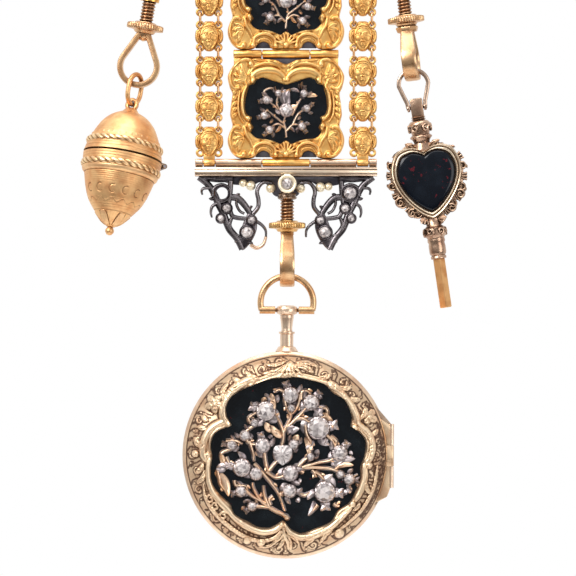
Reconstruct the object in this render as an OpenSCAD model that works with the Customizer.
// Chatelaine: a hook plate, two hinged plaques between mask-link chains, a cross bar with
// pierced brackets, and three screw hooks that carry a watch, an egg-shaped case and a watch key.
// Millimetres. X is the wearer's left-right seen from the front, -Y is the front, +Z is up.
// The origin is where the belt hook hangs on its belt.

/* [Hook plate] */
// Width of the hook plate without its side eyes
plate_w = 48; // [44:1:56]
// Height of the hook plate
plate_h = 26; // [22:1:34]
// Thickness of the hook plate
plate_t = 1.4; // [1:0.1:2.4]
// Room for the belt between the plate and the tongue
belt_gap = 5; // [4.5:0.5:8]
// Width of the belt hook's strip
tongue_w = 10; // [7:1:14]
// Length of the tongue below its bend
tongue_l = 22; // [16:1:24]
// Thickness of the belt hook's strip
tongue_t = 1.2; // [0.8:0.1:2]

/* [Plaques] */
// Width of a plaque over its lobes
plaque_w = 29.2; // [26:0.2:34]
// Height of a plaque over its scrolls
plaque_h = 25; // [23:0.2:29]
// Distance between two hinge lines
hinge_pitch = 27.25; // [27.25:0.25:32]
// Thickness of a plaque's frame at its raised mouldings
frame_t = 2.4; // [2:0.1:3.2]
// Thickness of a plaque's stone panel
panel_t = 0.9; // [0.6:0.1:1.2]
// Half-height of a plaque's flower spray
spray_r = 8; // [6:0.2:8.4]

/* [Hinges] */
// Outer radius of every band hinge knuckle
knuckle_r = 1; // [0.9:0.05:1.15]
// Radius of a band hinge pin
hinge_pin_r = 0.4; // [0.3:0.05:0.5]
// Half-length of a middle knuckle
knuckle_in = 6; // [4:0.25:7]
// Half-length over a plaque's outer knuckles
knuckle_out = 13.2; // [11:0.2:13.4]

/* [Side chains] */
// Number of mask links in each side chain
mask_count = 6; // [3:1:6]
// Width of a mask link over its lugs
mask_w = 7.1; // [6.4:0.1:8]
// Height of a mask link
mask_h = 7.6; // [6.4:0.1:7.8]
// Thickness of a mask link's plate
mask_t = 0.8; // [0.6:0.1:1]
// Space between a plaque and a side chain
chain_gap = 1.05; // [1:0.05:4]
// Wire radius of the loops that join the masks
loop_wire_r = 0.3; // [0.2:0.02:0.34]
// Width of the straps that hold the end masks
strap_w = 3; // [2:0.2:3.6]
// Distance from an end mask's centre to its hinge line
strap_l = 5.3; // [5.3:0.1:6]

/* [Cross bar] */
// Height of the cross bar's rail
rail_h = 2.2; // [1.8:0.1:3]
// Depth of the cross bar's rail, front to back
rail_d = 4.2; // [3.9:0.1:6]
// Height of the pierced brackets
bracket_h = 18.6; // [15:0.2:22]
// Thickness of the pierced brackets
bracket_t = 1.2; // [0.8:0.1:1.8]
// Outer radius of the centre stone's collet
collet_r = 2.3; // [1.9:0.1:2.6]

/* [Screw hooks] */
// Outer radius of the screw thread
thread_r = 1.75; // [1.4:0.05:2]
// Length of the screw from the nut's centre to the collar
thread_l = 6.5; // [5.5:0.25:9]
// Radius of the knurled nut
nut_r = 4.6; // [3.6:0.1:5.4]
// Thickness of the knurled nut's rim
nut_t = 2; // [1.4:0.1:2.6]
// Distance from the nut's centre to the centre of the hook's eye
hook_l = 10; // [9.6:0.2:13]
// Outer radius of the hook's eye
hook_r = 5.35; // [4.6:0.05:5.6]
// Thickness of the hook's band
hook_t = 1.5; // [1.2:0.05:1.7]
// Width of the hook's band
hook_w = 3.7; // [2.6:0.1:3.8]

/* [Watch] */
// Radius of the watch case's middle band
watch_r = 25.8; // [23:0.2:28]
// Radius of the decorated cover
cover_r = 25.2; // [22.5:0.1:25.4]
// Depth of the case's middle band, front to back
band_d = 6; // [5.6:0.2:9]
// Height of the cover's dome
cover_d = 4.8; // [4.4:0.2:7]
// Height of the dial side over the middle band
dial_d = 5.6; // [4.6:0.2:8]
// Distance from the bow's pivot to the watch's centre
watch_drop = 36.1; // [36:0.2:40]
// Half-height of the watch's flower spray
bouquet_r = 18; // [14:0.2:18.2]
// Centreline radius of the bow
bow_r = 6.6; // [6:0.05:7.5]
// Wire radius of the bow
bow_wire_r = 0.8; // [0.6:0.05:0.9]
// Lean of the watch to the side, in degrees
watch_lean = 0.4; // [0:0.2:3]
// Length of the case's hinge
case_hinge_l = 16; // [10:1:20]

/* [Egg-shaped case] */
// Radius of the egg at its seam
egg_r = 9.9; // [8:0.1:10.6]
// Height of the egg's lid
egg_lid_h = 12.2; // [10:0.1:15]
// Depth of the egg's cup
egg_cup_h = 17.7; // [13:0.1:20]
// Wall of the egg
egg_wall = 0.8; // [0.5:0.1:1.4]
// Seam between lid and cup
egg_seam = 0.3; // [0.2:0.05:0.6]
// Lean of the egg and its hook, in degrees
egg_lean = 9.6; // [0:0.2:11]
// Pitch of the egg, in degrees; below 0 its top leans back
egg_pitch = -10; // [-14:1:14]

/* [Watch key] */
// Width of the key's heart over its border
heart_w = 20.2; // [16:0.2:22]
// Depth of the key's heart, front to back
heart_d = 4.4; // [3:0.2:6]
// Length of the key's square pipe
pipe_l = 12.2; // [8:0.2:16]
// Side of the square pipe
pipe_w = 2.2; // [2:0.1:2.8]
// Lean of the key and its hook, in degrees
key_lean = 6.6; // [0:0.2:8]

/* [Hidden] */
$fn = 48;

GOLD = [0.86, 0.66, 0.31];
ROSE_GOLD = [0.79, 0.56, 0.35];
PALE_GOLD = [0.87, 0.79, 0.61];
SILVER = [0.55, 0.53, 0.52];
DARK_SILVER = [0.32, 0.31, 0.33];
BLOODSTONE = [0.03, 0.07, 0.08];
DIAMOND = [0.86, 0.87, 0.9];
ENAMEL = [0.93, 0.93, 0.9];
BLUE_STEEL = [0.12, 0.16, 0.3];

seat_gap = 0.05;
run_gap = 0.05;
end_gap = 0.15;
stone_gap = 0.12;

// Where the band hangs: its hinge lines lie in one plane in front of the belt
band_y = -(plate_t / 2 + seat_gap + tongue_t + belt_gap / 2);
plate_top = -1;
plate_mid = plate_top - plate_h / 2;
hinge_a = plate_top - plate_h - knuckle_r - 2;
hinge_b = hinge_a - hinge_pitch;
hinge_c = hinge_b - hinge_pitch;
plaque_under = 13.85;
frame_back = 0.8;
frame_edge = 0.9;
panel_front = 0.05;
chain_x = plaque_w / 2 + chain_gap + mask_w / 2;
bar_half = chain_x + mask_w / 2;
mask_pitch = (hinge_a - hinge_c - 2 * strap_l) / (mask_count - 1);
lug_x = mask_w / 2 - 1.3;
lug_z = mask_h / 2 - 1;
lug_r = 1.1;
lug_hole_r = loop_wire_r + 0.24;
eye_x = plate_w / 2 + 4.2;
eye_z = plate_mid - 1;
eye_r = 1.9;
eye_hole_r = 1.15;
rail_front = -1.6;
rail_top = hinge_c - knuckle_r - 0.15;
rail_bottom = rail_top - rail_h;

// Plaque outline, right half from the top middle down: outer x, outer z, inner x, inner z, as shares
// of the half-width and half-height
PLAQUE_ROWS = [
    [0, .93, 0, .49], [.18, .975, .094, .522], [.42, .99, .264, .584], [.6, .985, .403, .631],
    [.74, .985, .5, .584], [.88, .864, .543, .507], [.965, .724, .628, .476], [1, .6, .656, .38],
    [.965, .41, .675, .3], [.92, .287, .691, .225], [.937, .13, .705, .07], [.951, -.01, .698, -.02],
    [.958, -.128, .667, -.107], [.935, -.24, .588, -.165], [.92, -.348, .606, -.26],
    [.97, -.47, .562, -.359], [1, -.6, .6, -.456], [.985, -.74, .565, -.52], [.92, -.878, .525, -.56],
    [.8, -.97, .487, -.583], [.614, -.975, .44, -.59], [.53, -.94, .4, -.592], [.487, -.88, .365, -.594],
    [.396, -.825, .333, -.598], [.309, -.858, .25, -.62], [.264, -.94, .192, -.645],
    [.187, -.97, .094, -.691], [.09, -.965, .047, -.65], [0, -.96, 0, -.629]];
// Section of a plaque's frame from the inner edge out: share of the width, share of the thickness
FRAME_SECTION = [[0, .58], [.12, .92], [.38, .66], [.66, .8], [.86, 1], [1, .42]];
// Plain outline of the hook plate, right half from the top: x and z as shares of the half sizes
PLATE_ROWS = [[0, 1], [.24, .99], [.45, .88], [.6, .8], [.78, .74], [.93, .5], [1, .16], [.95, -.2],
    [.86, -.48], [.84, -.72], [.78, -.95], [.6, -1], [.3, -1], [0, -1]];
// Cover opening: angle in degrees, radius as a share of the cover's radius
COVER_ROWS = [[0, .805], [11, .83], [18, .79], [24, .735], [30, .785], [43, .825], [52, .8], [60, .822],
    [71, .805], [82, .795], [90, .78], [97, .785], [106, .775], [115, .773], [124, .785], [133, .79],
    [141, .753], [146, .69], [150, .61], [155, .655], [162, .725], [171, .743], [181, .72], [190, .745],
    [201, .77], [211, .75], [222, .725], [230, .765], [242, .75], [250, .758], [259, .735],
    [265, .685], [270, .652], [276, .74], [283, .795], [294, .793], [306, .81], [315, .77],
    [325, .805], [334, .8], [344, .802], [352, .775]];
// Section of the cover's frame: share of the width, share of the dome's height there
COVER_SECTION = [[0, .93], [.1, 1.07], [.26, 1.05], [.45, .93], [.68, .74], [.88, .4], [1, .14]];

// Plaque spray: x, z and stone radius as shares of its half-height, then petals, first angle, step
PLAQUE_FLOWERS = [[.01, -.03, .18, 0, 0, 0], [-.61, .29, .106, 3, 130, 42], [-.675, -.2, .094, 3, 130, 45],
    [-.52, -.65, .1, 4, 160, 42], [-.24, .5, .081, 2, 60, 60], [.56, .49, .094, 3, 20, 45],
    [.65, .025, .088, 3, -30, 45], [.5, -.54, .1, 4, -120, 42]];
PLAQUE_STEMS = [
    [[.01, -.88], [-.02, -.6], [-.07, -.4], [0, -.16]], [[.01, -.64], [-.2, -.47], [-.38, -.5], [-.5, -.6]],
    [[-.06, -.45], [-.33, -.24], [-.56, -.06]], [[-.15, -.14], [-.34, .08], [-.54, .24]],
    [[-.17, -.08], [-.29, .18], [-.24, .42]], [[.02, -.68], [.22, -.48], [.42, -.5]],
    [[.2, -.5], [.38, -.15], [.6, 0]], [[.18, -.2], [.36, .16], [.54, .43]],
    [[-.71, .42], [-.66, .58], [-.48, .66], [-.3, .6]], [[-.68, -.16], [-.62, -.06], [-.54, -.06]]];
// Leaves: base x and z, tip x and z, width, all as shares
PLAQUE_LEAVES = [[.14, .61, -.16, .54, .12], [.12, .61, .43, .52, .12], [.66, .4, .98, .4, .13],
    [.06, .08, .09, .58, .24], [.5, .62, .52, .86, .08], [.44, .6, .4, .8, .07], [-.3, .5, -.33, .72, .07]];

// Watch spray, in the same columns, as shares of its half-height
WATCH_FLOWERS = [[.083, .84, .1, 3, 50, 40], [.098, .66, .046, 0, 0, 0], [.37, .74, .097, 4, -10, 40],
    [-.253, .617, .122, 4, 100, 42], [-.411, .45, .05, 2, 150, 60], [.472, .389, .144, 5, -50, 40],
    [-.539, .278, .064, 2, 100, 60], [.133, .156, .061, 2, 50, 50], [-.294, .139, .092, 3, 40, 40],
    [-.722, .139, .061, 3, 100, 45], [-.017, .022, .117, 0, 0, 0], [.767, .044, .097, 4, -10, 42],
    [.367, -.011, .044, 3, 20, 45], [-.578, -.167, .111, 3, 110, 40], [-.383, -.25, .078, 0, 0, 0],
    [.089, -.239, .097, 3, -40, 45], [.778, -.25, .05, 0, 0, 0], [.906, -.317, .067, 4, -70, 45],
    [.083, -.483, .083, 3, -80, 50], [.567, -.494, .133, 6, -150, 42], [-.589, -.494, .067, 3, 120, 50],
    [-.433, -.7, .056, 3, 150, 45]];
WATCH_STEMS = [
    [[.06, -.86], [-.17, -.73], [-.3, -.62], [-.4, -.46], [-.45, -.3]],
    [[.01, -.78], [-.06, -.56], [-.17, -.36], [-.29, -.22], [-.45, -.1], [-.58, -.06]],
    [[-.19, -.66], [-.28, -.49], [-.28, -.38]], [[-.19, -.66], [-.14, -.55], [-.13, -.5]],
    [[-.03, .14], [-.01, .31], [-.09, .52], [-.13, .6]], [[0, .33], [.08, .51], [.1, .62]],
    [[.05, .4], [.2, .55], [.3, .66]], [[.14, .5], [.26, .52], [.36, .46]],
    [[-.27, .04], [-.24, -.14], [-.19, -.24]], [[-.24, -.22], [-.1, -.3], [.02, -.26]],
    [[-.2, -.2], [-.12, -.1], [-.06, -.03]], [[.19, -.15], [.4, -.14], [.62, -.08], [.72, -.02]],
    [[.2, -.16], [.45, -.16], [.66, -.2], [.78, -.26], [.88, -.3]], [[.2, -.14], [.3, -.04], [.36, -.01]],
    [[.38, -.18], [.46, -.3], [.54, -.4]], [[.16, -.49], [.3, -.52], [.42, -.44], [.48, -.4]],
    [[-.66, .16], [-.53, .14], [-.46, -.06]], [[-.41, .42], [-.52, .34], [-.54, .28]],
    [[-.52, .24], [-.48, .17], [-.36, .15]], [[-.55, -.46], [-.4, -.58], [-.22, -.66]],
    [[-.4, -.7], [-.3, -.7], [-.16, -.72]], [[-.7, .1], [-.86, .03], [-.82, -.1], [-.7, -.14]],
    [[-.66, -.2], [-.72, -.34], [-.62, -.44]], [[-.2, .66], [-.1, .76], [.02, .78]],
    [[.16, .8], [.24, .78], [.3, .72]], [[.56, .32], [.66, .22], [.72, .12]],
    [[.1, -.14], [.09, -.2], [.09, -.3]], [[.02, -.86], [.06, -.86], [.05, -.82]]];
WATCH_LEAVES = [[-.15, .34, -.26, .46, .1], [-.02, .36, .14, .4, .08], [.3, .26, .34, .02, .1],
    [.66, -.13, .94, -.02, .12], [-.94, -.22, -.76, -.56, .12], [-.92, -.18, -.72, -.12, .08],
    [-.22, .76, -.14, .64, .1], [.4, .22, .3, .1, .08], [.66, .48, .56, .6, .08], [.42, -.62, .34, -.82, .08]];

// Bracket scrolls on the left, x from the bar's middle and z from the bar's underside, as shares of
// the bracket's height
BRACKET_SCROLLS = [
    [[-1.19, .0], [-1.0, -.126], [-.967, -.274], [-.914, -.414], [-.836, -.545], [-.818, -.668],
        [-.748, -.755], [-.643, -.834], [-.591, -1]],
    [[-.731, 0], [-.739, -.135], [-.731, -.274], [-.75, -.38]],
    [[-.731, -.274], [-.635, -.309], [-.547, -.397], [-.525, -.484], [-.538, -.572], [-.556, -.65]],
    [[-.79, -.554], [-.678, -.563], [-.538, -.554]],
    [[-.521, -.41], [-.425, -.484], [-.381, -.598], [-.407, -.729], [-.451, -.834], [-.503, -.921],
        [-.591, -1]],
    [[-.818, -.668], [-.766, -.72], [-.678, -.738], [-.591, -.685], [-.556, -.65]]];
BRACKET_TENDRILS = [
    [[-.12, -.06], [-.2, -.05], [-.285, -.065], [-.364, -.108], [-.39, -.187], [-.364, -.309],
        [-.381, -.414], [-.425, -.484]],
    [[-.39, -.624], [-.315, -.7], [-.305, -.8]], [[-.93, -.371], [-.993, -.449], [-1.01, -.528]],
    [[-.98, -.215], [-1.045, -.152], [-1.106, -.161], [-1.124, -.222]]];
BRACKET_LEAF = [[-.521, -.423], [-.43, -.5], [-.39, -.6], [-.42, -.74], [-.46, -.84], [-.52, -.93],
    [-.585, -.98], [-.625, -.86], [-.6, -.72], [-.54, -.6]];
// Bracket stones: x, z, radius as shares; the left bracket has lost the first one
BRACKET_STONES = [[-.863, -.24, .1], [-.796, -.449, .066], [-.468, -.61, .053], [-.545, -.775, .083],
    [-.88, -.555, .036]];
// Gilt beads on the bar's back plate: x and z from the rail's underside, then radius
BEADS = [[-10.75, -1.7, .85], [-8.8, -2.35, 1.05], [-3.85, -3, 1], [3.65, -3, 1], [8.6, -2.75, 1.05],
    [10.65, -2.6, .85]];
// Egg profiles: height as a share of the part's height, radius as a share of the seam radius
LID_ROWS = [[0, 1], [.135, .962], [.26, .915], [.4, .85], [.55, .765], [.7, .655], [.85, .47], [.95, .24], [1, .08]];
CUP_ROWS = [[0, 1], [.12, .98], [.2, .94], [.3, .885], [.42, .83], [.54, .762], [.66, .665], [.78, .51], [.88, .36], [.95, .24], [1, .1]];

function spline(a, b, c, d, t) =
    0.5 * (2 * b + (c - a) * t + (2 * a - 5 * b + 4 * c - d) * t * t + (3 * b - a - 3 * c + d) * t * t * t);
// A closed curve through the points, with k steps from each to the next
function smooth_loop(p, k) = let (n = len(p)) [for (i = [0 : n - 1], s = [0 : k - 1])
    spline(p[(i + n - 1) % n], p[i], p[(i + 1) % n], p[(i + 2) % n], s / k)];
// An open curve through the points, with k steps from each to the next
function smooth_path(p, k) = let (n = len(p)) [for (i = [0 : n - 2], s = [0 : (i == n - 2 ? k : k - 1)])
    spline(p[max(i - 1, 0)], p[i], p[i + 1], p[min(i + 2, n - 1)], s / k)];
// A half outline and its mirror image as one closed list of rows
function both_sides(rows, mirrored) =
    concat(rows, [for (i = [len(rows) - 2 : -1 : 1]) [for (j = [0 : len(rows[i]) - 1])
        rows[i][j] * (j % 2 == 0 ? mirrored : 1)]]);
function unit(v) = v / max(norm(v), 1e-6);
function side_of(p, i) = let (d = unit(p[min(i + 1, len(p) - 1)] - p[max(i - 1, 0)])) [-d[1], d[0]];
function scaled(rows, r) = [for (p = rows) [p[0] * r, p[1] * r]];
function plaque_rows(k) = smooth_loop(both_sides(PLAQUE_ROWS, -1), k);
function outer_point(row) = [row[0] * plaque_w / 2, row[1] * plaque_h / 2];
function inner_point(row) = [row[2] * plaque_w / 2, row[3] * plaque_h / 2];
function polar(r, a) = [r * cos(a), r * sin(a)];

// Draws a flat shape of the front view, from depth y0 at the front to y1 at the back
module front(y0, y1) {
    translate([0, y1, 0]) rotate([90, 0, 0]) linear_extrude(y1 - y0) children();
}

module in_band(z = 0, x = 0) {
    translate([x, band_y, z]) children();
}

// A curved strip of width w0 that tapers to w1
module ribbon(points, w0, w1, k = 4) {
    p = smooth_path(points, k);
    n = len(p);
    left = [for (i = [0 : n - 1]) p[i] + side_of(p, i) * (w0 + (w1 - w0) * i / (n - 1)) / 2];
    right = [for (i = [n - 1 : -1 : 0]) p[i] - side_of(p, i) * (w0 + (w1 - w0) * i / (n - 1)) / 2];
    polygon(concat(left, right));
}

// A closed ring whose sections are lists of points, each in the same order
module ring_loft(sections) {
    n = len(sections);
    m = len(sections[0]);
    points = [for (s = sections, p = s) p];
    faces = [for (i = [0 : n - 1], j = [0 : m - 1])
        let (a = i * m + j, b = i * m + (j + 1) % m, c = ((i + 1) % n) * m + (j + 1) % m,
            d = ((i + 1) % n) * m + j) each [[a, c, b], [a, d, c]]];
    polyhedron(points, faces);
}

// A round wire along a path of points in space, with closed ends
module wire(path, r, sides = 8) {
    n = len(path);
    rings = [for (i = [0 : n - 1]) let (d = unit(path[min(i + 1, n - 1)] - path[max(i - 1, 0)]),
        u = unit(cross(d, abs(d[1]) < 0.9 ? [0, 1, 0] : [1, 0, 0])), v = cross(d, u))
        [for (j = [0 : sides - 1]) path[i] + r * (u * cos(360 * j / sides) + v * sin(360 * j / sides))]];
    points = [for (s = rings, p = s) p];
    walls = [for (i = [0 : n - 2], j = [0 : sides - 1])
        let (a = i * sides + j, b = i * sides + (j + 1) % sides) each
            [[a, a + sides, b + sides], [a, b + sides, b]]];
    polyhedron(points, concat(walls, [[for (j = [0 : sides - 1]) j],
        [for (j = [sides - 1 : -1 : 0]) (n - 1) * sides + j]]));
}

// A cut stone with a table, its back at depth 0 and its table towards the front
module gem(r, h) {
    levels = [[1, 0, 0], [.8, .6, 22.5], [.42, 1, 0]];
    points = [for (q = levels, j = [0 : 7]) [r * q[0] * cos(45 * j + q[2]), -h * q[1], r * q[0] * sin(45 * j + q[2])]];
    walls = [for (l = [0 : 1], j = [0 : 7]) let (a = l * 8 + j, b = l * 8 + (j + 1) % 8,
        up = (l == 0 ? [a + 8, b + 8] : [(l + 1) * 8 + (j + 1) % 8, (l + 1) * 8 + (j + 2) % 8]))
        each (l == 0 ? [[a, b, a + 8], [b, b + 8, a + 8]] : [[a, b, b + 8], [a, b + 8, a + 8]])];
    polyhedron(points, concat(walls, [[7, 6, 5, 4, 3, 2, 1, 0], [for (j = [0 : 7]) 16 + j]]));
}

// A hinge knuckle along X without its bore, shortened by half the end gap at each end
module knuckle(x0, x1) {
    translate([x0 + end_gap / 2, 0, 0]) rotate([0, 90, 0]) cylinder(h = x1 - x0 - end_gap, r = knuckle_r);
}

module pin_bore(x0, x1) {
    translate([x0, 0, 0]) rotate([0, 90, 0]) cylinder(h = x1 - x0, r = hinge_pin_r + run_gap);
}

// An oval link of round wire in the XZ plane: pitch is the straight length between its end arcs
module oval_link(straight, arc_r, wire_r) {
    for (s = [-1, 1]) {
        translate([0, 0, s * straight / 2]) rotate([90, 0, 0])
            rotate([0, 0, s > 0 ? 0 : 180]) rotate_extrude(angle = 180) translate([arc_r, 0]) circle(wire_r, $fn = 16);
        translate([s * arc_r, 0, -straight / 2]) cylinder(h = straight, r = wire_r, $fn = 16);
    }
}

// Hook plate: a plain cartouche with a raised border, side eyes and a hinge tube for the band
module plate_outline(share) {
    rows = smooth_loop(both_sides(PLATE_ROWS, -1), 4);
    polygon([for (r = rows) [r[0] * (plate_w / 2 - share), r[1] * (plate_h / 2 - share)]]);
}

module hook_plate() color(GOLD) in_band() difference() {
    union() {
        translate([0, 0, plate_mid]) front(-plate_t / 2, plate_t / 2) plate_outline(0);
        translate([0, 0, plate_mid]) front(-plate_t / 2 - 0.7, 0) difference() {
            plate_outline(0.4);
            plate_outline(2);
        }
        translate([0, 0, hinge_a]) {
            knuckle(-knuckle_in, knuckle_in);
            for (s = [-1, 1]) {
                knuckle(min(s * knuckle_out, s * (chain_x - strap_w / 2)), max(s * knuckle_out, s * (chain_x - strap_w / 2)));
                knuckle(min(s * bar_half, s * (chain_x + strap_w / 2)), max(s * bar_half, s * (chain_x + strap_w / 2)));
            }
        }
        plate_web();
        for (s = [-1, 1]) translate([s * eye_x, 0, eye_z]) {
            rotate([90, 0, 0]) translate([0, 0, -plate_t / 2]) cylinder(h = plate_t, r = eye_r);
            front(-plate_t / 2, plate_t / 2) translate([s > 0 ? -(eye_x - plate_w / 2) - 2 : 0, -0.8])
                square([eye_x - plate_w / 2 + 2, 1.6]);
        }
    }
    translate([0, 0, hinge_a]) pin_bore(-bar_half - 1, bar_half + 1);
    for (s = [-1, 1]) translate([s * eye_x, plate_t, eye_z]) rotate([90, 0, 0]) cylinder(h = 2 * plate_t, r = eye_hole_r);
}

// The strip of metal that carries the hook plate's hinge tube
module plate_web() {
    reach = hinge_a - plate_top + plate_h;
    rail = hinge_a + knuckle_r + 0.15;
    front(-0.5, 0.5) {
        translate([-bar_half, rail]) square([2 * bar_half, plate_top - plate_h + 0.6 - rail]);
        translate([-knuckle_in + end_gap, hinge_a]) square([2 * (knuckle_in - end_gap), -reach]);
        for (s = [-1, 1]) {
            inner = chain_x - strap_w / 2 - end_gap;
            outer = chain_x + strap_w / 2 + end_gap;
            translate([s > 0 ? knuckle_out + end_gap : -inner, hinge_a]) square([inner - knuckle_out - end_gap, -reach]);
            translate([s > 0 ? outer : -bar_half + end_gap, hinge_a]) square([bar_half - outer - end_gap, -reach]);
        }
    }
}

// Belt hook: one bent strip, its short leg against the plate and its tongue behind the belt
module belt_hook() color(GOLD) {
    leg_l = tongue_l * 0.5;
    inner = belt_gap / 2;
    outer = inner + tongue_t;
    intersection() {
        rotate([90, 0, 90]) translate([0, 0, -tongue_w / 2]) linear_extrude(tongue_w) {
            translate([0, -inner]) intersection() {
                difference() {
                    circle(outer);
                    circle(inner);
                }
                translate([-outer, 0]) square([2 * outer, outer]);
            }
            translate([-outer, -inner - leg_l]) square([tongue_t, leg_l]);
            translate([inner, -inner - tongue_l]) square([tongue_t, tongue_l]);
        }
        front(-2 * outer, 2 * outer) {
            translate([-tongue_w / 2, -inner - tongue_l + tongue_w / 2]) square([tongue_w, tongue_l + 2 * outer]);
            translate([0, -inner - tongue_l + tongue_w / 2]) circle(tongue_w / 2);
        }
    }
}

module band_pins() color(ROSE_GOLD) in_band() {
    half = bar_half - end_gap / 2;
    for (q = [[hinge_a, half], [hinge_b, knuckle_out - end_gap / 2], [hinge_c, half]])
        translate([-q[1], 0, q[0]]) rotate([0, 90, 0]) cylinder(h = 2 * q[1], r = hinge_pin_r);
}

// A plaque's frame: one cast piece of scrolls with its knuckles, hanging from a hinge line
module plaque_frame(hinge) color(GOLD) in_band(hinge) difference() {
    union() {
        translate([0, 0, -plaque_under]) {
            ring_loft([for (row = plaque_rows(2)) frame_section(row)]);
            plaque_webs();
        }
        for (s = [-1, 1]) knuckle(min(s * knuckle_in, s * knuckle_out), max(s * knuckle_in, s * knuckle_out));
        translate([0, 0, -hinge_pitch]) knuckle(-knuckle_in, knuckle_in);
    }
    pin_bore(-bar_half, bar_half);
    translate([0, 0, -hinge_pitch]) pin_bore(-bar_half, bar_half);
}

function frame_section(row) = let (inner = inner_point(row), outer = outer_point(row),
    front_side = [for (q = FRAME_SECTION) let (p = inner + (outer - inner) * q[0])
        [p[0], frame_back - frame_t * q[1], p[1]]],
    back_in = inner, back_out = outer)
    concat([for (i = [len(front_side) - 1 : -1 : 0]) front_side[i]],
        [[back_in[0], -0.2, back_in[1]], [back_out[0], frame_back, back_out[1]]]);

// Small plates behind the scrolls that carry the knuckles and close the two lower notches
module plaque_webs() {
    top = plaque_h / 2;
    front(0, frame_back) {
        for (s = [-1, 1]) translate([s > 0 ? knuckle_in + end_gap : -knuckle_out + end_gap, top * 0.86])
            square([knuckle_out - knuckle_in - 2 * end_gap, plaque_under - top * 0.86]);
        translate([-plaque_w * 0.12, -hinge_pitch + plaque_under]) square([plaque_w * 0.24, hinge_pitch - plaque_under - top * 0.86]);
    }
    front(frame_back - 0.5, frame_back) for (s = [-1, 1])
        translate([s > 0 ? plaque_w * 0.09 : -plaque_w * 0.26, -top * 0.97]) square([plaque_w * 0.17, top * 0.24]);
}

// A plaque's stone panel, held behind the frame's inner edge
module plaque_panel(hinge) color(BLOODSTONE) in_band(hinge - plaque_under)
    front(panel_front, panel_front + panel_t) polygon([for (row = plaque_rows(2))
        let (p = inner_point(row)) p + unit(p) * 0.45]);

// Stems, leaves, petals and collets of a flower spray, cut from sheet, with the stone seats sunk in
module spray(flowers, stems, leaves, r, stem_w, collet_h) {
    sheet_t = collet_h * 0.5;
    difference() {
        union() {
            front(-sheet_t, 0) {
                for (s = stems) ribbon(scaled(s, r), stem_w, stem_w * 0.6);
                for (l = leaves) leaf([l[0], l[1]] * r, [l[2], l[3]] * r, l[4] * r);
                for (f = flowers) flower(f, r);
            }
            for (f = flowers) translate([f[0] * r, 0, f[1] * r]) rotate([90, 0, 0])
                cylinder(h = collet_h, r = f[2] * r + stone_gap + 0.25, $fn = 24);
        }
        for (f = flowers) translate([f[0] * r, -collet_h * 0.45, f[1] * r]) rotate([90, 0, 0])
            cylinder(h = collet_h, r = f[2] * r + stone_gap, $fn = 24);
    }
}

module leaf(base, tip, w) {
    d = tip - base;
    side = [-d[1], d[0]] / max(norm(d), 1e-6);
    polygon([base, base + d * 0.35 + side * w / 2, base + d * 0.7 + side * w * 0.35, tip,
        base + d * 0.7 - side * w * 0.35, base + d * 0.35 - side * w / 2]);
}

module flower(f, r) {
    stone = f[2] * r;
    middle = [f[0], f[1]] * r;
    if (f[3] > 0) for (i = [0 : f[3] - 1])
        leaf(middle + polar(stone * 0.8, f[4] + i * f[5]), middle + polar(stone * 1.35 + 0.7, f[4] + i * f[5]), stone * 0.5 + 0.5);
}

module spray_stones(flowers, r, collet_h) {
    for (f = flowers) translate([f[0] * r, -collet_h * 0.45 - seat_gap, f[1] * r]) gem(f[2] * r, f[2] * r * 0.75 + 0.15);
}

plaque_stem = 0.42;
plaque_collet = 1.0;

module plaque_spray(hinge, flip) color(SILVER) in_band(hinge - plaque_under) translate([0, panel_front - seat_gap, 0])
    mirror([flip, 0, 0]) spray(PLAQUE_FLOWERS, PLAQUE_STEMS, PLAQUE_LEAVES, spray_r, plaque_stem, plaque_collet);

module plaque_stones(hinge, flip) color(DIAMOND) in_band(hinge - plaque_under) translate([0, panel_front - seat_gap, 0])
    mirror([flip, 0, 0]) spray_stones(PLAQUE_FLOWERS, spray_r, plaque_collet);

// A mask link: a face in relief on a plate with four lugs, and a strap at either end of the chain
module mask(side, number) color(GOLD)
    in_band(hinge_a - strap_l - (number - 1) * mask_pitch, side * chain_x) difference() {
        union() {
            front(-mask_t / 2, mask_t / 2) mask_outline();
            mask_face();
            if (number == 1) strap(1);
            if (number == mask_count) strap(-1);
        }
        for (x = [-lug_x, lug_x], z = [-lug_z, lug_z]) translate([x, mask_t, z]) rotate([90, 0, 0])
            cylinder(h = 2 * mask_t, r = lug_hole_r, $fn = 24);
        for (z = [-strap_l, strap_l]) translate([0, 0, z]) pin_bore(-strap_w, strap_w);
    }

module mask_outline() {
    square([mask_w, mask_h * 0.56], center = true);
    for (x = [-lug_x, lug_x], z = [-lug_z, lug_z]) translate([x, z]) circle(lug_r);
    translate([0, mask_h * 0.12]) circle(mask_h * 0.36);
    translate([0, -mask_h * 0.2]) circle(mask_h * 0.3);
}

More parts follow.
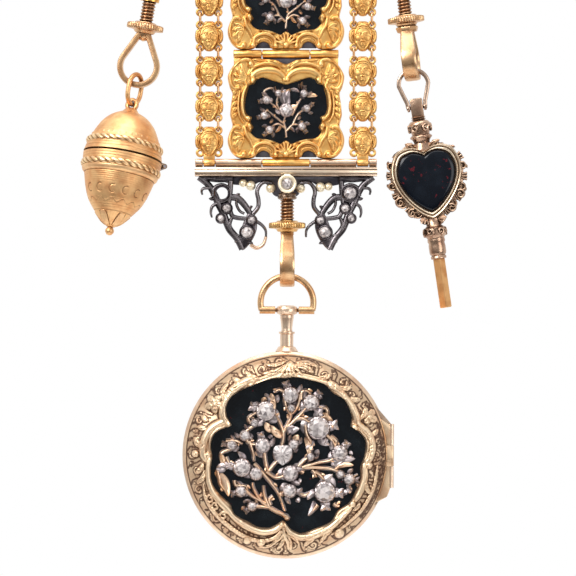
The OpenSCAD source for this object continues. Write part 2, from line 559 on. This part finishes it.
// The face: cheeks, brow, nose, mouth, eyes and a crest of three locks
module mask_face() {
    half = mask_h / 2;
    cut = mask_t / 2;
    intersection() {
        union() {
            translate([0, half * 0.45, half * 0.16]) sphere(half * 0.72);
            translate([0, half * 0.25, -half * 0.4]) sphere(half * 0.5);
            translate([0, -half * 0.16, half * 0.02]) sphere(half * 0.13);
            translate([0, -half * 0.2, half * 0.02]) cylinder(h = half * 0.34, r1 = half * 0.13, r2 = half * 0.06);
            for (s = [-1, 1]) {
                translate([s * half * 0.26, -half * 0.12, half * 0.2]) sphere(half * 0.11);
                translate([s * half * 0.2, -half * 0.06, half * 0.38]) rotate([0, s * 12, 0]) rotate([0, 90, 0])
                    cylinder(h = half * 0.34, r = half * 0.07, center = true);
                translate([s * half * 0.42, 0, half * 0.76]) sphere(half * 0.24);
            }
            translate([0, -half * 0.02, half * 0.82]) sphere(half * 0.26);
            translate([0, -half * 0.16, -half * 0.24]) rotate([0, 90, 0]) cylinder(h = half * 0.3, r = half * 0.07, center = true);
        }
        translate([-mask_w, -2 * half + cut / 2, -mask_h]) cube([2 * mask_w, 2 * half, 2 * mask_h]);
    }
}

// The strap that joins an end mask to its hinge line
module strap(end) {
    width = strap_w - end_gap;
    translate([0, 0, end * strap_l]) knuckle(-strap_w / 2, strap_w / 2);
    front(-mask_t / 2, mask_t / 2) translate([-width / 2, end > 0 ? mask_h * 0.3 : -strap_l])
        square([width, strap_l - mask_h * 0.3]);
}

// The pairs of upright loops that join the masks
module mask_loops(side) color(ROSE_GOLD) for (i = [1 : mask_count - 1], x = [-lug_x, lug_x])
    in_band(hinge_a - strap_l - (i - 0.5) * mask_pitch, side * chain_x + x) rotate([0, 0, 90])
        oval_link(mask_pitch - 2 * lug_z - 2 * loop_r, loop_r, loop_wire_r);

loop_r = mask_t / 2 + loop_wire_r + 0.25;

// Cross bar: a moulded rail with its hinge tube, a scalloped back plate and the middle collar
module cross_bar() color(PALE_GOLD) in_band() difference() {
    union() {
        translate([-bar_half, rail_front, rail_bottom]) cube([2 * bar_half, rail_d, rail_h]);
        translate([-bar_half + 0.5, rail_front - 0.35, rail_bottom + rail_h * 0.35])
            cube([2 * bar_half - 1, 1, rail_h * 0.65]);
        translate([0, 0, hinge_c]) for (s = [-1, 1]) {
            inner = chain_x - strap_w / 2;
            outer = chain_x + strap_w / 2;
            knuckle(min(s * knuckle_in, s * inner), max(s * knuckle_in, s * inner));
            knuckle(min(s * outer, s * bar_half), max(s * outer, s * bar_half));
            front(-0.4, 0.4) {
                translate([s > 0 ? knuckle_in + end_gap : -inner + end_gap, rail_top - hinge_c - 0.2])
                    square([inner - knuckle_in - 2 * end_gap, hinge_c - rail_top]);
                translate([s > 0 ? outer + end_gap : -bar_half + end_gap, rail_top - hinge_c - 0.2])
                    square([bar_half - outer - 2 * end_gap, hinge_c - rail_top]);
            }
        }
        back_plate();
        translate([watch_x, 0, collar_z]) collar_block();
    }
    translate([0, 0, hinge_c]) pin_bore(-bar_half - 1, bar_half + 1);
    translate([watch_x, 0, collar_z - 1]) cylinder(h = collar_t + 2, r = spindle_r + run_gap, $fn = 32);
}

watch_x = 0.3;
spindle_r = 1;
spindle_head_r = 1.6;
spindle_head_t = 0.75;
collar_r = 2.4;
collar_t = 1.75;
plate_back_y = 1.8;
collar_z = rail_bottom - collet_r * 2 + 0.5 - collar_t;
nut_z = collar_z - thread_l;
scallop_r = 2.6;

// The plate under the rail that carries the beads, cut in shallow scallops
module back_plate() {
    front(plate_back_y, plate_back_y + 0.8) {
        translate([-bar_half * 0.86, rail_bottom - 0.9]) square([bar_half * 1.72, 1.2]);
        for (b = BEADS) translate([b[0], rail_bottom + b[1] + 0.5]) circle(scallop_r * 0.62);
        translate([watch_x - 3, collar_z]) square([6, rail_bottom - collar_z]);
    }
}

// The round collar under the middle stone, joined to the back plate by a web behind the screw's head
module collar_block() {
    cylinder(h = collar_t, r = collar_r);
    translate([-1.4, 0, 0]) cube([2.8, plate_back_y + 0.4, collar_t]);
}

// One pierced bracket of silver scrolls; the last argument tells if the big stone's seat is empty
module bracket(side) color(DARK_SILVER) in_band(rail_bottom - seat_gap) mirror([side > 0 ? 1 : 0, 0, 0]) {
    r = bracket_h;
    difference() {
        union() {
            front(-bracket_t / 2, bracket_t / 2) {
                for (s = BRACKET_SCROLLS) ribbon(scaled(s, r), 0.62, 0.5, 3);
                for (s = BRACKET_TENDRILS) ribbon(scaled(s, r), 0.5, 0.36, 3);
                polygon(scaled(BRACKET_LEAF, r));
                translate([-1.19 * r, -0.6]) square([0.46 * r, 0.6]);
            }
            for (f = BRACKET_STONES) translate([f[0] * r, bracket_t / 2, f[1] * r]) rotate([90, 0, 0])
                cylinder(h = bracket_t + 0.4, r = f[2] * r + 0.45, $fn = 24);
        }
        for (f = BRACKET_STONES) translate([f[0] * r, 0, f[1] * r]) rotate([90, 0, 0])
            cylinder(h = bracket_t + 1, r = f[2] * r + stone_gap, $fn = 24);
        if (side < 0) translate([BRACKET_STONES[0][0] * r, bracket_t, BRACKET_STONES[0][1] * r]) rotate([90, 0, 0])
            cylinder(h = 2 * bracket_t, r = BRACKET_STONES[0][2] * r + stone_gap - 0.3, $fn = 24);
    }
}

module bracket_stones(side) color(DIAMOND) in_band(rail_bottom - seat_gap) mirror([side > 0 ? 1 : 0, 0, 0])
    for (i = [(side < 0 ? 1 : 0) : len(BRACKET_STONES) - 1]) let (f = BRACKET_STONES[i] * bracket_h)
        translate([f[0], -seat_gap, f[1]]) gem(f[2], bracket_t / 2 + f[2] * 0.55 + 0.2);

module bar_beads() color(PALE_GOLD) in_band(rail_bottom) for (b = BEADS)
    translate([b[0], plate_back_y - b[2] - seat_gap, b[1]]) sphere(b[2], $fn = 32);

collet_y = rail_front - 1.7;
collet_z = rail_bottom - collet_r + 0.3;

// The collet hangs in front of the screw's head, on a tongue from the rail's face
module centre_collet() color(PALE_GOLD) in_band(collet_z, watch_x) difference() {
    union() {
        translate([0, collet_y + 0.8, 0]) rotate([90, 0, 0]) cylinder(h = 1.7, r = collet_r);
        front(collet_y, rail_front - 0.4) translate([-0.8, 0]) square([1.6, collet_r + 0.8]);
    }
    translate([0, collet_y - 0.1, 0]) rotate([90, 0, 0]) cylinder(h = 2, r = collet_r * 0.72 + stone_gap);
}

module centre_stone() color(DIAMOND) in_band(collet_z, watch_x) translate([0, collet_y - 0.1 - seat_gap, 0])
    gem(collet_r * 0.72, 1.5);

// Where the three screw hooks hang: the nut's centre, then the lean and pitch of everything below
// the collar and the turn of the hook about its own screw
watch_at = [watch_x, nut_z];
egg_at = [-eye_x - 7, hinge_a - 20.6];
key_at = [eye_x + 1.8, hinge_a - 18.8];

module watch_frame() in_band(watch_at[1], watch_at[0]) children();
module egg_frame() in_band(egg_at[1], egg_at[0]) rotate([0, egg_lean, 0]) children();
module key_frame() in_band(key_at[1], key_at[0]) rotate([0, -key_lean, 0]) children();

// The floor of a hook's eye below the nut's centre, and how far an arc's inner side rises above its
// own centre where it clears a band of the given half-width
eye_floor = hook_l + hook_r - hook_t;
hang_gap = 0.1;
function over_edge(r, half) = sqrt(r * r - half * half);

// How far a straight side's foot lies inside the circle that it runs into
tangent_sink = 0.03;

// Screw, spindle and eye of a hook in its own frame: the nut's centre is the origin
module screw_hook() {
    thread_top = thread_l - 0.1;
    ridges = floor((thread_top + 2.2) / 0.7);
    rotate_extrude() polygon(concat([[0, -2.2]],
        [for (i = [0 : ridges - 1]) each [[thread_r - 0.25, -2.2 + i * 0.7], [thread_r, -1.85 + i * 0.7]]],
        [[thread_r - 0.25, thread_top], [spindle_r, thread_top], [spindle_r, thread_l + collar_t + 0.1],
            [spindle_head_r, thread_l + collar_t + 0.1],
            [spindle_head_r, thread_l + collar_t + 0.1 + spindle_head_t],
            [0, thread_l + collar_t + 0.1 + spindle_head_t]]));
    intersection() {
        front(-hook_w / 2, hook_w / 2) difference() {
            eye_outline(hook_r, 1.75);
            eye_outline(hook_r - hook_t, 0);
        }
        translate([0, 0, -hook_l - hook_r - 1]) cylinder(h = hook_l + hook_r - 1, r1 = 12, r2 = 3);
    }
}

// A pear shape: a circle with two tangents that run up to a point or a narrow neck
module eye_outline(r, neck) {
    top = hook_l - (neck > 0 ? 1.9 : 3.4);
    a = atan2(top, neck) - acos(r / norm([neck, top]));
    foot = r - tangent_sink;
    translate([0, -hook_l]) {
        circle(r);
        polygon([[-neck, top], [-foot * cos(a), foot * sin(a)], [0, 0], [foot * cos(a), foot * sin(a)], [neck, top]]);
    }
}

// A knurled nut with a plain ferrule under it
module knurled_nut() {
    teeth = 40;
    difference() {
        union() {
            translate([0, 0, -nut_t / 2]) linear_extrude(nut_t) polygon([for (i = [0 : 2 * teeth - 1])
                polar(nut_r - (i % 2) * 0.22, i * 180 / teeth)]);
            translate([0, 0, nut_t / 2 - 0.01]) cylinder(h = 0.6, r = nut_r * 0.58);
            translate([0, 0, -nut_t / 2 - 0.9]) cylinder(h = 1, r1 = nut_r * 0.5, r2 = nut_r * 0.6);
        }
        translate([0, 0, -nut_t - 2]) cylinder(h = 2 * nut_t + 4, r = thread_r + 0.1);
    }
}

// The hidden end of a side chain: links from the plate's eye down to a stirrup round the screw's head
stirrup_h = 5.2;
stirrup_half = spindle_head_r + 0.6;
link_wire_r = 0.45;
link_r = 1.5;
link_count = 5;
link_gap = 0.1;
stirrup_eye_up = 1.2;
stirrup_eye_r = 0.9;

module stirrup() translate([0, 0, thread_l]) difference() {
    union() {
        cylinder(h = collar_t, r = collar_r);
        front(-0.8, 0.8) difference() {
            translate([-stirrup_half, 0.2]) square([2 * stirrup_half, stirrup_h - 0.2]);
            translate([-stirrup_half + 0.5, collar_t]) square([2 * stirrup_half - 1, stirrup_h - collar_t - 0.9]);
        }
        front(-0.5, 0.5) difference() {
            translate([0, stirrup_h + stirrup_eye_up]) circle(stirrup_eye_r + 0.8);
            translate([0, stirrup_h + stirrup_eye_up]) circle(stirrup_eye_r);
        }
    }
    translate([0, 0, -1]) cylinder(h = collar_t + 2, r = spindle_r + run_gap, $fn = 32);
}

module side_chain(side, at, lean) color(GOLD) {
    in_band(at[1], at[0]) rotate([0, side * -lean, 0]) stirrup();
    rise = thread_l + stirrup_h + stirrup_eye_up + stirrup_eye_r - link_wire_r - link_gap - 0.08;
    top = [side * eye_x, eye_z - eye_hole_r + link_wire_r + link_gap + 0.17];
    low = [at[0] - side * rise * sin(lean), at[1] + rise * cos(lean)];
    pitch = (norm(top - low) - 2 * link_wire_r - link_gap) / link_count;
    straight = pitch - 2 * link_r + 2 * link_wire_r + link_gap;
    run = unit(low - top);
    for (i = [0 : link_count - 1]) let (p = top + run * (straight / 2 + link_r + i * pitch))
        in_band(p[1], p[0]) rotate([0, atan2(-run[0], -run[1]) , 0]) rotate([0, 0, i % 2 == 0 ? 90 : 0])
            oval_link(straight, link_r, link_wire_r);
}

// Watch: everything here hangs in a frame whose origin is the bow's pivot
bow_up = 1.9;
pivot_drop = eye_floor - hang_gap + bow_up + over_edge(bow_r - bow_wire_r, hook_w / 2);
knob_r = 2.7;
pivot_r = 0.5;

module watch_part() watch_frame() translate([0, 0, -pivot_drop]) children();
module leaning() translate([0, 0, bow_up + bow_r]) rotate([0, watch_lean, 0]) translate([0, 0, -bow_up - bow_r]) children();
module case_part() watch_part() leaning() translate([0, 0, -watch_drop]) children();

module watch_bow() color(ROSE_GOLD) watch_part() leaning() {
    reach = acos(bow_up / bow_r);
    translate([0, 0, bow_up]) rotate([90, 0, 0]) rotate([0, 0, reach - 90]) rotate_extrude(angle = 360 - 2 * reach + 0.01)
        translate([bow_r, 0]) circle(bow_wire_r, $fn = 24);
    for (s = [-1, 1]) translate([s > 0 ? knob_r + 0.25 : -knob_r - 0.25 - 3.9, 0, 0]) rotate([0, 90, 0])
        cylinder(h = 3.9, r = 0.95, $fn = 24);
    translate([-knob_r - 0.5, 0, 0]) rotate([0, 90, 0]) cylinder(h = 2 * knob_r + 1, r = pivot_r, $fn = 24);
}

half_band = band_d / 2;
// The top of the case's rim below the bow's pivot
rim_z = watch_r - watch_drop;
// Pendant profile: radius, height from the pivot; it runs into the case's rim
module pendant() difference() {
    rotate_extrude() polygon([[0, 1.2], [1.6, 1.2], [2.4, 0.9], [knob_r, 0.3], [knob_r, -0.3], [2.4, -0.9], [1.7, -1.2],
        [1.7, -1.9], [1.5, -3.2], [1.35, -4.6], [1.4, -5.3], [2, -5.4], [2, -5.8], [1.65, -6], [1.65, -9],
        [2.2, -9.2], [2.2, -9.6], [2.2, rim_z + 1], [2.8, rim_z + 0.1], [2.7, rim_z - 0.7], [0, rim_z - 0.9]]);
    translate([-4, 0, 0]) rotate([0, 90, 0]) cylinder(h = 8, r = pivot_r + run_gap, $fn = 24);
}

hinge_x = watch_r + 0.4;
hinge_y = -half_band;
hinge_barrel_r = 0.7;
hinge_bore_r = 0.4;
hinge_third = case_hinge_l / 3;

// A stretch of the case hinge from height z0 to z1, with the plate that joins it to the round rim;
// the plate runs down to the rim at height taper
module case_knuckle(z0, z1, y0, y1, inner_r, taper) {
    low = min(z0, z1) + end_gap / 2;
    high = max(z0, z1) - end_gap / 2;
    from = (z0 == min(z0, z1) ? low : high);
    to = (z0 == min(z0, z1) ? high : low);
    difference() {
        union() {
            translate([hinge_x, hinge_y, low]) cylinder(h = high - low, r = hinge_barrel_r, $fn = 32);
            front(y0, y1) polygon([[0, from], [hinge_x, from], [hinge_x, to],
                [sqrt(watch_r * watch_r - taper * taper) - 0.3, taper == 0 ? to : taper], [0, taper == 0 ? to : taper]]);
        }
        translate([0, y1 + 1, 0]) rotate([90, 0, 0]) cylinder(h = y1 - y0 + 2, r = inner_r);
    }
}

module case_bore() translate([hinge_x, hinge_y, -case_hinge_l]) cylinder(h = 2 * case_hinge_l, r = hinge_bore_r, $fn = 24);

// The case: middle band, bezel, closed back of the inner case and the pendant
module watch_case() color(PALE_GOLD) case_part() difference() {
    union() {
        rotate([-90, 0, 0]) rotate_extrude($fn = 96) polygon([[0, -half_band - cover_d * 0.55],
            [watch_r * 0.36, -half_band - cover_d * 0.53], [watch_r * 0.56, -half_band - cover_d * 0.38],
            [watch_r * 0.76, -half_band - cover_d * 0.16], [watch_r * 0.86, -half_band], [watch_r - 0.6, -half_band],
            [watch_r, -half_band + 0.6], [watch_r, half_band - 0.6], [watch_r - 0.4, half_band],
            [watch_r - 0.3, half_band + 0.8], [watch_r - 1.2, half_band + dial_d * 0.34],
            [watch_r - 2.6, half_band + dial_d * 0.36], [watch_r - 2.8, half_band + 0.8], [0, half_band + 0.8]]);
        translate([0, 0, watch_drop]) pendant();
        for (s = [-1, 1]) case_knuckle(s * hinge_third / 2, s * case_hinge_l / 2,
            hinge_y + 0.12, hinge_y + 1.1, watch_r - 1, s * case_hinge_l * 0.77);
    }
    case_bore();
    translate([hinge_x, hinge_y, -hinge_third / 2]) cylinder(h = hinge_third, r = hinge_barrel_r + 0.2, $fn = 32);
}

module watch_dial() color(ENAMEL) case_part() translate([0, half_band + 0.8 + seat_gap, 0]) rotate([-90, 0, 0])
    cylinder(h = 0.6, r = watch_r - 3.2, $fn = 96);

module watch_hands() color(BLUE_STEEL) case_part() translate([0, half_band + 1.4 + 2 * seat_gap, 0]) {
    hand(0, -watch_r * 0.5, 35);
    hand(0.35, watch_r * 0.68, 118);
}

// A hand at a depth, with its length and its angle from three o'clock
module hand(depth, reach, angle) front(depth, depth + 0.3) rotate(angle) union() {
    circle(1.2);
    translate([min(0, reach), -0.35]) square([abs(reach), 0.7]);
}

module watch_crystal() color(DIAMOND) case_part() rotate([-90, 0, 0]) translate([0, 0, half_band]) rotate_extrude($fn = 96)
    polygon([[0, dial_d], [watch_r * 0.35, dial_d * 0.97], [watch_r * 0.62, dial_d * 0.82], [watch_r - 3.4, dial_d * 0.5],
        [watch_r - 2.9, dial_d * 0.34], [watch_r - 3.6, dial_d * 0.34], [watch_r * 0.6, dial_d * 0.68],
        [watch_r * 0.34, dial_d * 0.82], [0, dial_d * 0.85]]);

cover_seat = -half_band - 0.12;
cover_panel_y = cover_seat - cover_d * 0.72;

// How far the stone panel reaches under the cover's inner edge, and the flat seat that it lies against
panel_lap = 0.6;
panel_seat = panel_lap + 0.3;

// The cartouche's middle lies a little to the left of the cover's
open_x = -0.5;
open_share = 0.98;

function opening(row, more) = polar(row[1] * cover_r * open_share + more, row[0]) + [open_x, 0];
function cover_section(row) = let (inner = opening(row, 0), outer = polar(cover_r, row[0]),
    rim = polar(cover_r - 1, row[0]), seat = opening(row, panel_seat),
    front_side = [for (q = COVER_SECTION) let (p = inner + (outer - inner) * q[0])
        [p[0], cover_seat - cover_d * q[1], p[1]]])
    concat(front_side, [[outer[0], cover_seat, outer[1]], [rim[0], cover_seat, rim[1]],
        [seat[0], cover_panel_y - seat_gap, seat[1]], [inner[0], cover_panel_y - seat_gap, inner[1]]]);

// The decorated cover: a shallow dome of scrollwork round an open cartouche
module watch_cover() color(PALE_GOLD) case_part() difference() {
    union() {
        ring_loft([for (row = cover_rows(3)) cover_section(row)]);
        case_knuckle(-hinge_third / 2, hinge_third / 2, hinge_y - 0.9, hinge_y - 0.14, cover_r - 0.8, 0);
    }
    case_bore();
}

// The opening as rows of angle and share, closed on itself past a full turn
function cover_rows(k) = let (n = len(COVER_ROWS), p = [for (i = [-1 : n + 1])
    [COVER_ROWS[(i + n) % n][0] + 360 * floor(i / n), COVER_ROWS[(i + n) % n][1]]])
    [for (i = [0 : n - 1], s = [0 : k - 1]) spline(p[i], p[i + 1], p[i + 2], p[i + 3], s / k)];

module watch_panel() color(BLOODSTONE) case_part() front(cover_panel_y, cover_panel_y + 0.9)
    polygon([for (row = cover_rows(2)) opening(row, panel_lap)]);

watch_stem = 0.62;
watch_collet = 1.3;

module watch_spray() color(SILVER) case_part() translate([open_x, cover_panel_y - seat_gap, 0])
    spray(WATCH_FLOWERS, WATCH_STEMS, WATCH_LEAVES, bouquet_r, watch_stem, watch_collet);

module watch_stones() color(DIAMOND) case_part() translate([open_x, cover_panel_y - seat_gap, 0])
    spray_stones(WATCH_FLOWERS, bouquet_r, watch_collet);

module case_pin() color(ROSE_GOLD) case_part() translate([hinge_x, hinge_y, -case_hinge_l / 2 + 0.1])
    cylinder(h = case_hinge_l - 0.2, r = hinge_bore_r - run_gap, $fn = 24);

// Egg-shaped case: its frame's origin is the middle of the seam
egg_ring_r = 3.1;
egg_ring_wire_r = 0.6;
egg_ring_straight = 1.4;
egg_lug_z = egg_lid_h + 1.5;
egg_turn = 62;
// Turn of the egg about its own axis, which takes its hinge towards the back
egg_spin = 20;
egg_lug_hole_r = egg_ring_wire_r + 0.35;
egg_lug_play = 0.25;
// The ring's middle: its upper arc clears both edges of the hook's band
egg_ring_z = eye_floor - hang_gap + egg_ring_straight / 2
    + over_edge(egg_ring_r - egg_ring_wire_r, hook_w / 2 / sin(egg_turn));
egg_lug_drop = egg_ring_z + egg_ring_straight / 2 + egg_ring_r + egg_lug_hole_r - egg_ring_wire_r - egg_lug_play;

module egg_part() egg_frame() translate([0, 0, -egg_lug_drop])
    rotate([egg_pitch, 0, 0]) rotate([0, 0, egg_spin]) translate([0, 0, -egg_lug_z]) children();

module egg_ring() color(ROSE_GOLD) egg_frame() translate([0, 0, -egg_ring_z]) rotate([0, 0, egg_turn])
    oval_link(egg_ring_straight, egg_ring_r, egg_ring_wire_r);

// A hollow half of the egg from its rows, as a lathe profile with a constant wall
module egg_shell(rows, h, up) {
    p = smooth_path([for (q = rows) [q[1] * egg_r, up * (egg_seam / 2 + q[0] * (h - egg_seam / 2))]], 3);
    q = smooth_path([for (q = rows) [max(q[1] * egg_r - egg_wall, 0), up * (egg_seam / 2 + q[0] * (h - egg_seam / 2 - egg_wall))]], 3);
    rotate_extrude($fn = 96) polygon(concat(p, [[0, up * h], [0, up * (h - egg_wall)]], [for (i = [len(q) - 1 : -1 : 0]) q[i]]));
}

module egg_rope(z, share) translate([0, 0, z]) rotate_extrude($fn = 96) translate([egg_r * share, 0]) circle(0.6, $fn = 16);

module egg_knuckle(x, y0, y1) translate([x, y0 + end_gap / 2, 0]) rotate([-90, 0, 0]) cylinder(h = y1 - y0 - end_gap, r = 0.65, $fn = 24);
module egg_bore(r) translate([egg_hinge_x, -3, 0]) rotate([-90, 0, 0]) cylinder(h = 6, r = r, $fn = 24);

egg_hinge_x = egg_r + 0.7;

module egg_lid() color(GOLD) egg_part() difference() {
    union() {
        egg_shell(LID_ROWS, egg_lid_h, 1);
        egg_rope(egg_lid_h * 0.25, 0.92);
        translate([0, 0, egg_lid_h - 0.6]) cylinder(h = 1.2, r1 = 2.2, r2 = 1.2);
        translate([0, 0, egg_lug_z]) rotate([0, 0, egg_turn + 90 - egg_spin]) front(-0.5, 0.5) circle(1.75);
        for (s = [-1, 1]) egg_knuckle(egg_hinge_x, s > 0 ? 0.7 : -2.2, s > 0 ? 2.2 : -0.7);
        for (s = [-1, 1]) translate([egg_r - 0.5, s > 0 ? 0.8 : -2.1, egg_seam / 2]) cube([1.1, 1.3, 0.6]);
    }
    egg_bore(0.35);
    translate([0, 0, egg_lug_z]) rotate([0, 0, egg_turn + 90 - egg_spin]) translate([0, 2, 0]) rotate([90, 0, 0])
        cylinder(h = 4, r = egg_lug_hole_r, $fn = 24);
}

module egg_cup() color(GOLD) egg_part() difference() {
    union() {
        egg_shell(CUP_ROWS, egg_cup_h, -1);
        egg_rope(-egg_cup_h * 0.16, 0.955);
        egg_knuckle(egg_hinge_x, -0.7, 0.7);
        translate([egg_r - 0.5, -0.6, -egg_seam / 2 - 0.6]) cube([1.1, 1.2, 0.6]);
        translate([0, 0, -egg_cup_h]) cylinder(h = 1.6, r1 = 1.1, r2 = 2.4);
        translate([0, 0, -egg_cup_h - 1.1]) sphere(1.15, $fn = 32);
        translate([0, 0, -egg_cup_h - 0.6]) cylinder(h = 1, r = 0.6, $fn = 24);
    }
    egg_bore(0.35);
}

module egg_pin() color(ROSE_GOLD) egg_part() translate([egg_hinge_x, -2.1, 0]) rotate([-90, 0, 0]) cylinder(h = 4.2, r = 0.3, $fn = 24);

// Watch key: its frame's origin is the bail's pivot, in the flat tongue at the top of the key
key_turn = 82;
bail_wire_r = 0.55;
bail_arc_r = 3.7;
bail_arc_z = 5.8;
bail_pin_x = 2.05;
key_drop = eye_floor - hang_gap + bail_arc_z
    + over_edge(bail_arc_r - bail_wire_r, hook_w / 2 / sin(key_turn));
heart_z = -18;
// The key leans a little more than its hook, turned in the bail's arch
key_tip = 1.7;
heart_stone_y = -heart_d / 2 + 1.2;
lower_collar_z = heart_z - heart_w * 0.564;
pipe_z = lower_collar_z - 8.9;

module key_part() key_frame() translate([0, 0, -key_drop + bail_arc_z]) rotate([0, -key_tip, 0])
    translate([0, 0, -bail_arc_z]) children();

module key_bail() color(SILVER) key_part() {
    arch = [for (a = [0 : 15 : 180]) [bail_arc_r * cos(a), 0, bail_arc_z + bail_arc_r * sin(a)]];
    foot = [bail_pin_x + 0.1, 0, 0.4];
    wire(concat([foot], arch, [[-foot[0], 0, foot[2]]]), bail_wire_r, 8);
    for (s = [-1, 1]) translate([s * bail_pin_x - 0.35, 0, 0]) rotate([0, 90, 0]) cylinder(h = 0.7, r = 0.85, $fn = 24);
    translate([-bail_pin_x - 0.3, 0, 0]) rotate([0, 90, 0]) cylinder(h = 2 * bail_pin_x + 0.6, r = 0.4, $fn = 24);
}

// Right half of a plump heart from the notch to the tip, as shares of its width
HEART = [[0, .4], [.1, .455], [.24, .475], [.4, .41], [.485, .25], [.5, .08], [.455, -.09], [.36, -.26], [.235, -.41],
    [.1, -.525], [0, -.575]];
module heart(w) {
    half = smooth_path([for (p = HEART) p * w], 2);
    polygon(concat(half, [for (i = [len(half) - 2 : -1 : 1]) [-half[i][0], half[i][1]]]));
}

module watch_key() color(ROSE_GOLD) key_part() difference() {
    union() {
        front(-0.9, 0.9) polygon([[-1.55, 2.3], [1.55, 2.3], [1.5, -3.8], [-1.5, -3.8]]);
        translate([0, 0, -8.3]) rotate_extrude() polygon([[0, 5.2], [1.9, 5.2], [2.9, 4.2], [3, 2.6], [2.4, 1.4],
            [2.9, 0.9], [2.2, 0], [1.9, -1.2], [1.9, heart_z + 12.8], [0, heart_z + 12.8]]);
        translate([0, 0, heart_z]) {
            front(-heart_d * 0.3, heart_d * 0.3) {
                polygon(heart_border(2));
                for (p = heart_border(1)) translate(p) circle(heart_w * SCALLOP, $fn = 16);
            }
            front(-heart_d / 2, heart_d / 2) heart(heart_w * 0.83);
        }
        translate([0, 0, lower_collar_z]) rotate_extrude() polygon([[0, 1.6], [1.8, 1.4], [1.9, -0.4], [2.9, -0.9],
            [3.1, -1.9], [2.9, -2.9], [2.2, -3.6], [2.2, -4.4], [2, -4.8], [2.1, -7.5], [1.7, -7.9], [1.9, -8.2],
            [1.9, -8.7], [1.4, -8.9], [0, -8.9]]);
        translate([0, 0, pipe_z]) rotate([0, 0, 45]) translate([-pipe_w / 2, -pipe_w / 2, -pipe_l]) cube([pipe_w, pipe_w, pipe_l + 0.5]);
    }
    translate([0, heart_stone_y, heart_z]) front(-heart_d, 0) heart(heart_w * STONE_SHARE);
    translate([-3, 0, 0]) rotate([0, 90, 0]) cylinder(h = 6, r = 0.4 + run_gap, $fn = 24);
    translate([0, 0, pipe_z - pipe_l - 1]) rotate([0, 0, 45]) translate([-0.7, -0.7, 0]) cube([1.4, 1.4, 6]);
}

// Right half of the heart's scalloped border: x and z of the scallops as shares of its width
HEART_BORDER = [[.09, .375], [.2, .385], [.33, .325], [.425, .22], [.452, .1], [.448, -.03], [.41, -.16], [.355, -.27],
    [.27, -.355], [.185, -.42], [.1, -.51]];
SCALLOP = 0.047;
STONE_SHARE = 0.71;
function heart_border(k) = smooth_loop([for (s = [1, -1], i = [0 : len(HEART_BORDER) - 1])
    let (p = HEART_BORDER[s > 0 ? i : len(HEART_BORDER) - 1 - i]) [s * p[0], p[1]] * heart_w], k);

module key_stone() color(BLOODSTONE) key_part() translate([0, heart_stone_y - seat_gap, heart_z]) {
    front(-0.9, 0) heart(heart_w * STONE_SHARE - 2 * stone_gap);
    front(-1.3, -0.8) heart(heart_w * STONE_SHARE * 0.87);
}

hook_plate();
belt_hook();
band_pins();
plaque_frame(hinge_a);  // upper_frame
plaque_panel(hinge_a);  // upper_panel
plaque_spray(hinge_a, 1);  // upper_spray
plaque_stones(hinge_a, 1);  // upper_stones
plaque_frame(hinge_b);  // lower_frame
plaque_panel(hinge_b);  // lower_panel
plaque_spray(hinge_b, 0);  // lower_spray
plaque_stones(hinge_b, 0);  // lower_stones
for (i = [1 : mask_count]) {
    mask(-1, i);
    mask(1, i);
}
mask_loops(-1);  // left_loops
mask_loops(1);  // right_loops
cross_bar();
bracket(-1);  // left_bracket
bracket(1);  // right_bracket
bracket_stones(-1);  // left_bracket_stones
bracket_stones(1);  // right_bracket_stones
bar_beads();
centre_collet();
centre_stone();
side_chain(-1, egg_at, egg_lean);  // egg_chain
color(ROSE_GOLD) egg_frame() screw_hook();  // egg_hook
color(GOLD) egg_frame() knurled_nut();  // egg_nut
egg_ring();
egg_lid();
egg_cup();
egg_pin();
side_chain(1, key_at, key_lean);  // key_chain
color(ROSE_GOLD) key_frame() rotate([0, 0, key_turn]) screw_hook();  // key_hook
color(GOLD) key_frame() knurled_nut();  // key_nut
key_bail();
watch_key();
key_stone();
color(ROSE_GOLD) watch_frame() rotate([0, 0, 90]) screw_hook();  // watch_hook
color(GOLD) watch_frame() knurled_nut();  // watch_nut
watch_bow();
watch_case();
watch_dial();
watch_hands();
watch_crystal();
watch_cover();
watch_panel();
watch_spray();
watch_stones();
case_pin();
